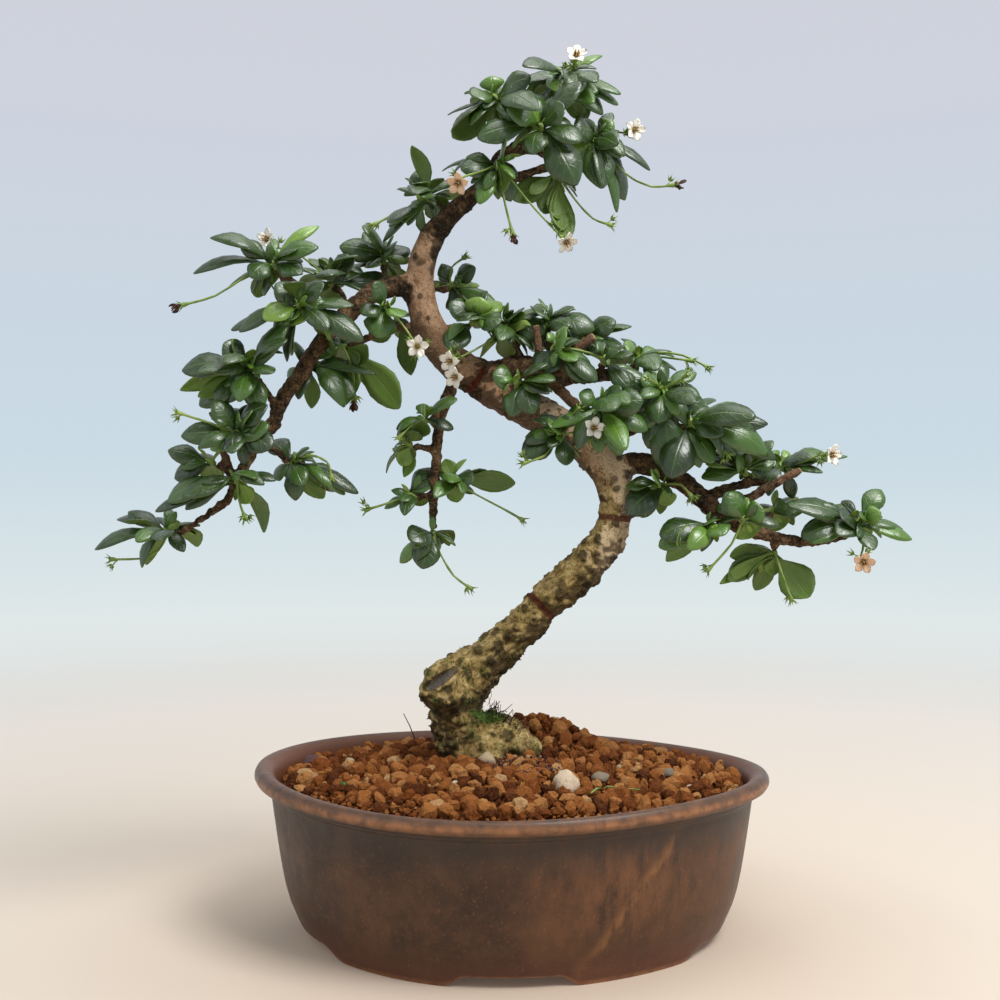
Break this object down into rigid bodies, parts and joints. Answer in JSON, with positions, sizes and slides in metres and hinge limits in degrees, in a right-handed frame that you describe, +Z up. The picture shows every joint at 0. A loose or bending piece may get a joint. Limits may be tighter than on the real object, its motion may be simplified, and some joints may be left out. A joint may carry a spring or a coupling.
{
  "type": "bonsai tree in pot",
  "caption": "Fukien tea bonsai with a curved old trunk, layered leafy shoots and small flowers, standing in a glazed oval pot of clay-grain soil",
  "frame": {"origin": "On the ground under the middle of the pot.", "axes": "+Z is up. The pot is long along X. The tree is shaped to be seen from -Y: its trunk leans to +X, then back to -X."},
  "size_m": [0.3277, 0.1676, 0.3606],
  "materials": {
    "glaze": "satin charcoal-brown glaze, mottled with rust",
    "clay_grains": "baked clay grains, matt",
    "bark": "rough tan bark with dark knots",
    "leaf": "glossy dark green leaf",
    "white_petal": "soft white petal",
    "peach_petal": "soft peach petal",
    "screen": "moulded plastic net"
  },
  "bodies": {
    "root": {"drain_screen_left": "screen", "drain_screen_right": "screen", "flower_peach_10": "peach_petal", "flower_peach_4": "peach_petal", "flower_white_1": "white_petal", "flower_white_2": "white_petal", "flower_white_3": "white_petal", "flower_white_5": "white_petal", "flower_white_6": "white_petal", "flower_white_7": "white_petal", "flower_white_8": "white_petal", "flower_white_9": "white_petal", "pot": "glaze", "shoot_apex_fork": "leaf", "shoot_apex_front": "leaf", "shoot_apex_left": "leaf", "shoot_apex_right": "leaf", "shoot_apex_top": "leaf", "shoot_apex_under": "leaf", "shoot_centre_dark": "leaf", "shoot_centre_flower": "leaf", "shoot_centre_low": "leaf", "shoot_centre_mid": "leaf", "shoot_centre_right": "leaf", "shoot_centre_top": "leaf", "shoot_hanging_end": "leaf", "shoot_hanging_leaf": "leaf", "shoot_hanging_left": "leaf", "shoot_hanging_low": "leaf", "shoot_hanging_right": "leaf", "shoot_inner_left": "leaf", "shoot_inner_trunk": "leaf", "shoot_knob_left": "leaf", "shoot_left_back": "leaf", "shoot_left_cut": "leaf", "shoot_left_end": "leaf", "shoot_left_front": "leaf", "shoot_left_high": "leaf", "shoot_left_inside": "leaf", "shoot_left_low": "leaf", "shoot_left_main": "leaf", "shoot_left_mid": "leaf", "shoot_left_right": "leaf", "shoot_left_tip": "leaf", "shoot_low_end": "leaf", "shoot_low_knob": "leaf", "shoot_low_left": "leaf", "shoot_low_mid": "leaf", "shoot_right_back": "leaf", "shoot_right_big": "leaf", "shoot_right_centre": "leaf", "shoot_right_far": "leaf", "shoot_right_in": "leaf", "shoot_right_knot": "leaf", "shoot_right_mid": "leaf", "shoot_right_stub": "leaf", "shoot_right_top": "leaf", "shoot_right_under": "leaf", "soil": "clay_grains", "trunk_and_branches": "bark"}
  },
  "joints": []
}
